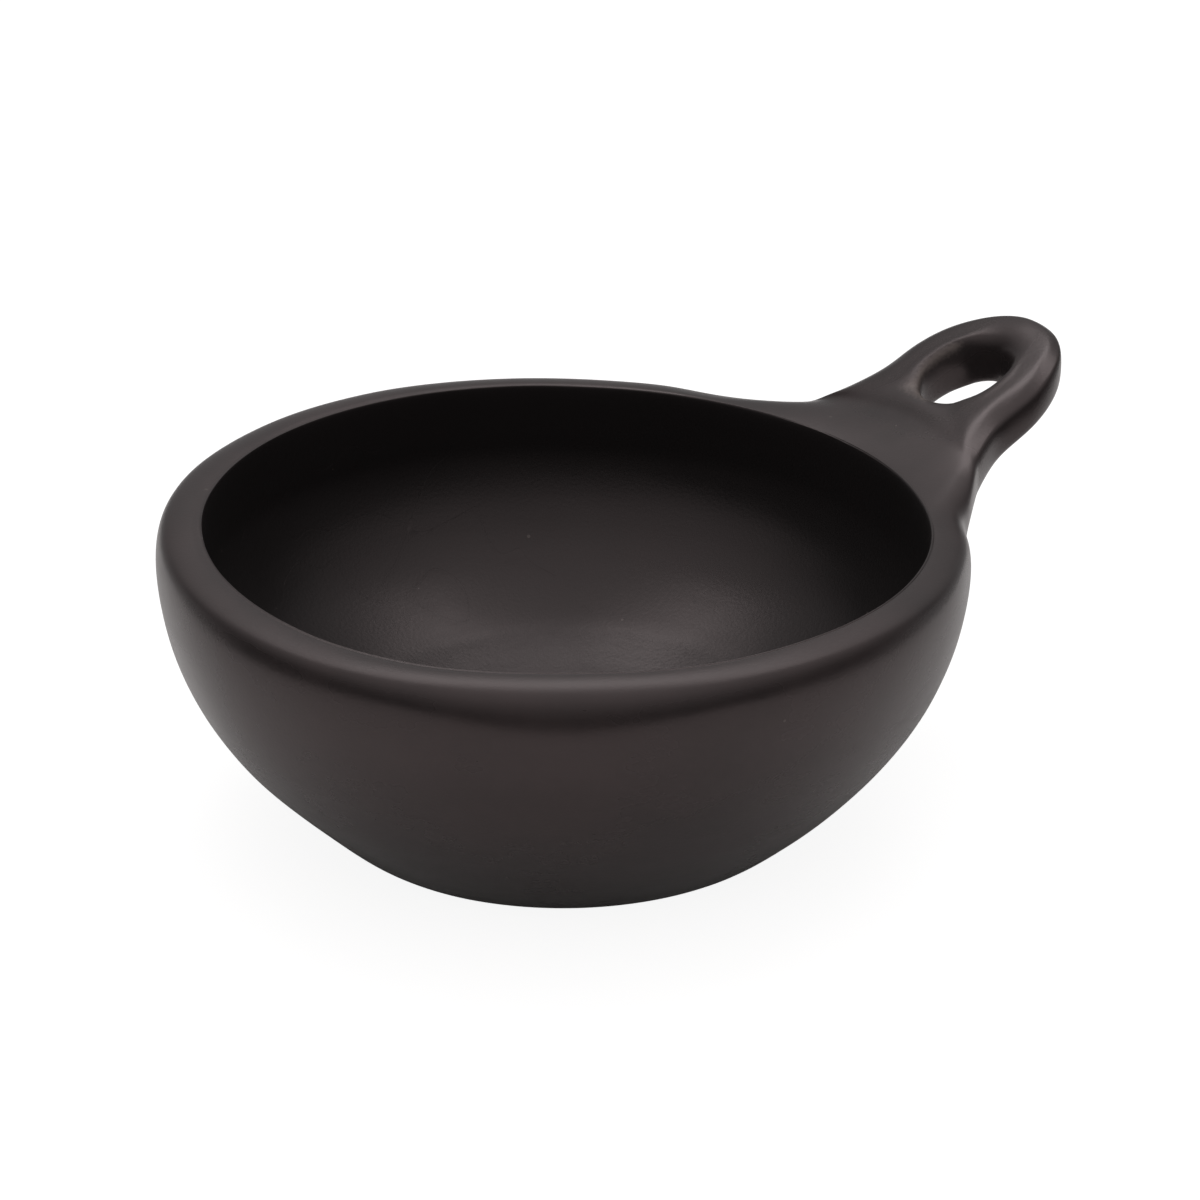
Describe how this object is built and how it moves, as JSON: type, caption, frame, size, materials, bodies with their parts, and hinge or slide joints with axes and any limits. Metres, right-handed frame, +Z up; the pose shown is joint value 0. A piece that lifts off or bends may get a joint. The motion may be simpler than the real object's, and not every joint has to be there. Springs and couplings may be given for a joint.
{
  "type": "clay bowl with handle",
  "caption": "Round hand-built black clay bowl with a thick rolled lip, a flat foot and a pierced lug handle that rises from the rim.",
  "frame": {"origin": "middle of the flat foot, on the surface the bowl stands on", "axes": "+Z up, +X from the bowl's middle along the handle"},
  "size_m": [0.1914, 0.152, 0.0709],
  "materials": {
    "fired_black_clay": "burnished satin, unglazed"
  },
  "bodies": {
    "root": {"moulded_saucer": "fired_black_clay", "wall_coil_1": "fired_black_clay", "wall_coil_2": "fired_black_clay", "rim_coil": "fired_black_clay", "handle_root_roll": "fired_black_clay", "handle_loop": "fired_black_clay"}
  },
  "joints": []
}
